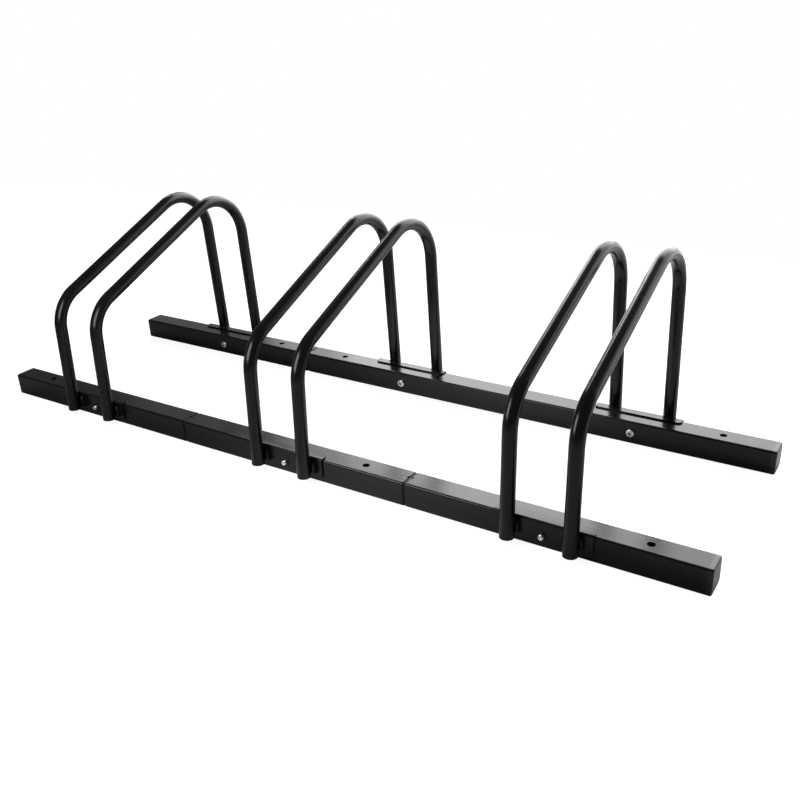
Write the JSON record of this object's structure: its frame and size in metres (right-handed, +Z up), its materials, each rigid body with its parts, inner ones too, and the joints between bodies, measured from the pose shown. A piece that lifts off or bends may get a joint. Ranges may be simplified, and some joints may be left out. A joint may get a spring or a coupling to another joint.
{
  "type": "floor bike rack",
  "caption": "Floor rack for bicycles: square-tube rails joined by pairs of bent-tube hoops on angle brackets, each pair holding one wheel upright.",
  "frame": {"origin": "centre of the outline seen from above, at floor level under the rails", "axes": "+X along the rails, +Y from the low front legs of the hoops to their high rear legs, +Z up"},
  "size_m": [1.01, 0.3274, 0.2592],
  "materials": {
    "powder_coat": "semi-gloss black powder coat on steel tube and plate",
    "black_plastic": "satin black moulded plastic",
    "zinc": "bright zinc plate",
    "black_zinc": "black zinc plate"
  },
  "bodies": {
    "root": {"front_bracket_left": "powder_coat", "front_bracket_middle": "powder_coat", "front_bracket_right": "powder_coat", "front_connector_left_to_middle": "black_plastic", "front_connector_middle_to_right": "black_plastic", "front_end_cap_left": "black_plastic", "front_end_cap_right": "black_plastic", "front_rail_left": "powder_coat", "front_rail_middle": "powder_coat", "front_rail_right": "powder_coat", "front_rivet_nut_left": "black_zinc", "front_rivet_nut_middle": "black_zinc", "front_rivet_nut_right": "black_zinc", "front_screw_left": "zinc", "front_screw_middle": "zinc", "front_screw_right": "zinc", "hoop_left_bay_left": "powder_coat", "hoop_left_bay_right": "powder_coat", "hoop_middle_bay_left": "powder_coat", "hoop_middle_bay_right": "powder_coat", "hoop_right_bay_left": "powder_coat", "hoop_right_bay_right": "powder_coat", "rear_bracket_left": "powder_coat", "rear_bracket_middle": "powder_coat", "rear_bracket_right": "powder_coat", "rear_connector_middle_to_left": "black_plastic", "rear_connector_right_to_middle": "black_plastic", "rear_end_cap_left": "black_plastic", "rear_end_cap_right": "black_plastic", "rear_rail_left": "powder_coat", "rear_rail_middle": "powder_coat", "rear_rail_right": "powder_coat", "rear_rivet_nut_left": "black_zinc", "rear_rivet_nut_middle": "black_zinc", "rear_rivet_nut_right": "black_zinc", "rear_screw_left": "zinc", "rear_screw_middle": "zinc", "rear_screw_right": "zinc"}
  },
  "joints": []
}
